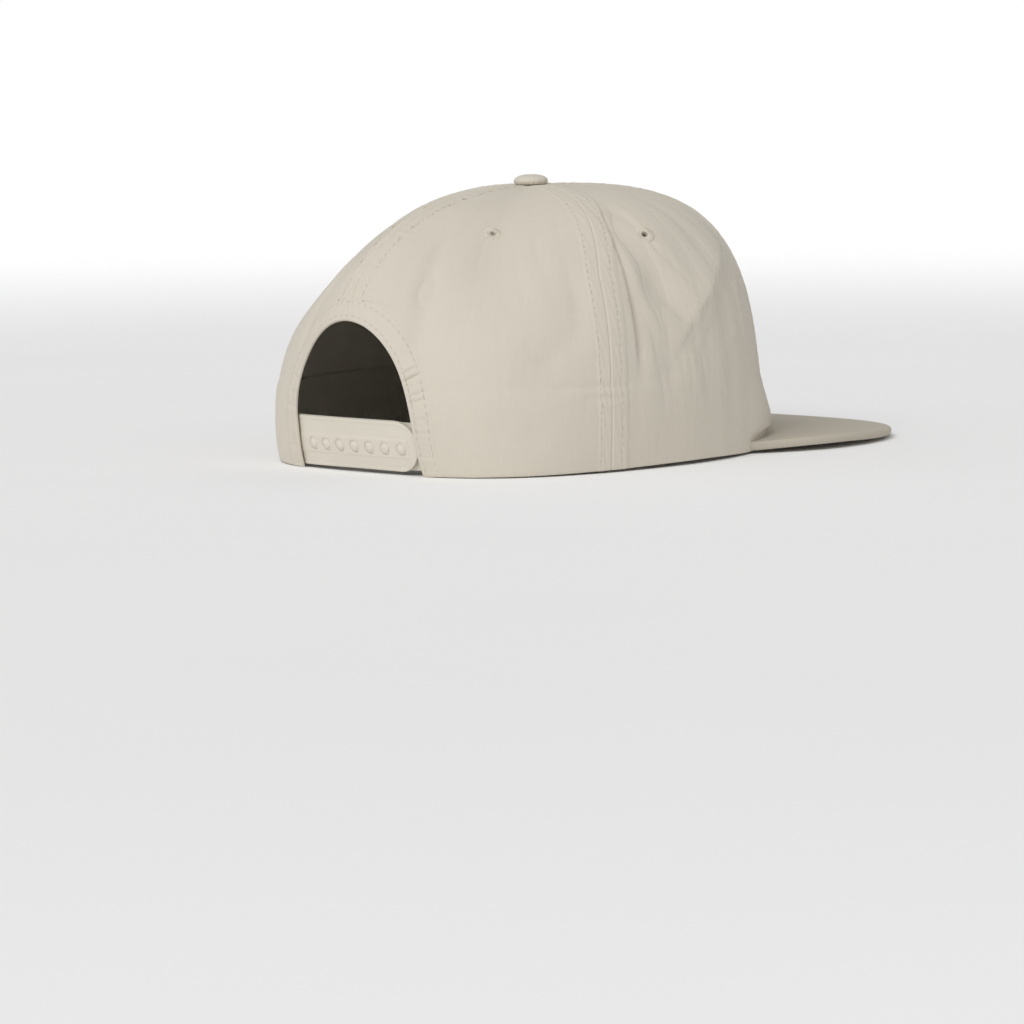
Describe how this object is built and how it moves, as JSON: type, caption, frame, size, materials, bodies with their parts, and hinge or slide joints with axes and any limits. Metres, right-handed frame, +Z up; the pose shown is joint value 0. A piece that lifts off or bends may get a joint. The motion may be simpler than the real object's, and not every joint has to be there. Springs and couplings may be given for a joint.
{
  "type": "surf cap",
  "caption": "Soft low-crown cap with a flat brim, a rear arch opening and a plastic snap strap.",
  "frame": {"origin": "on the surface that the cap rests on, below the middle of its bounding box", "axes": "+Z up, +Y from the brim to the strap at the back, +X to the wearer's left"},
  "size_m": [0.168, 0.267, 0.1071],
  "materials": {
    "cloth": "fine plain nylon weave, matte with a faint sheen",
    "brim_cloth": "fine plain nylon weave over a stiff board",
    "hem_cloth": "folded cloth with two rows of stitches",
    "sweatband_cloth": "cotton twill, matte",
    "thread": "close stitching",
    "strap_plastic": "soft satin"
  },
  "bodies": {
    "root": {"front_panel": "cloth", "side_panel_right": "cloth", "side_panel_left": "cloth", "rear_panel_right": "cloth", "rear_panel_left": "cloth", "top_button": "cloth", "arch_hem": "hem_cloth", "brim": "brim_cloth", "sweatband": "sweatband_cloth", "strap_outer": "strap_plastic", "strap_inner": "strap_plastic", "eyelet_side_right": "thread", "eyelet_side_left": "thread", "eyelet_rear_right": "thread", "eyelet_rear_left": "thread"}
  },
  "joints": []
}
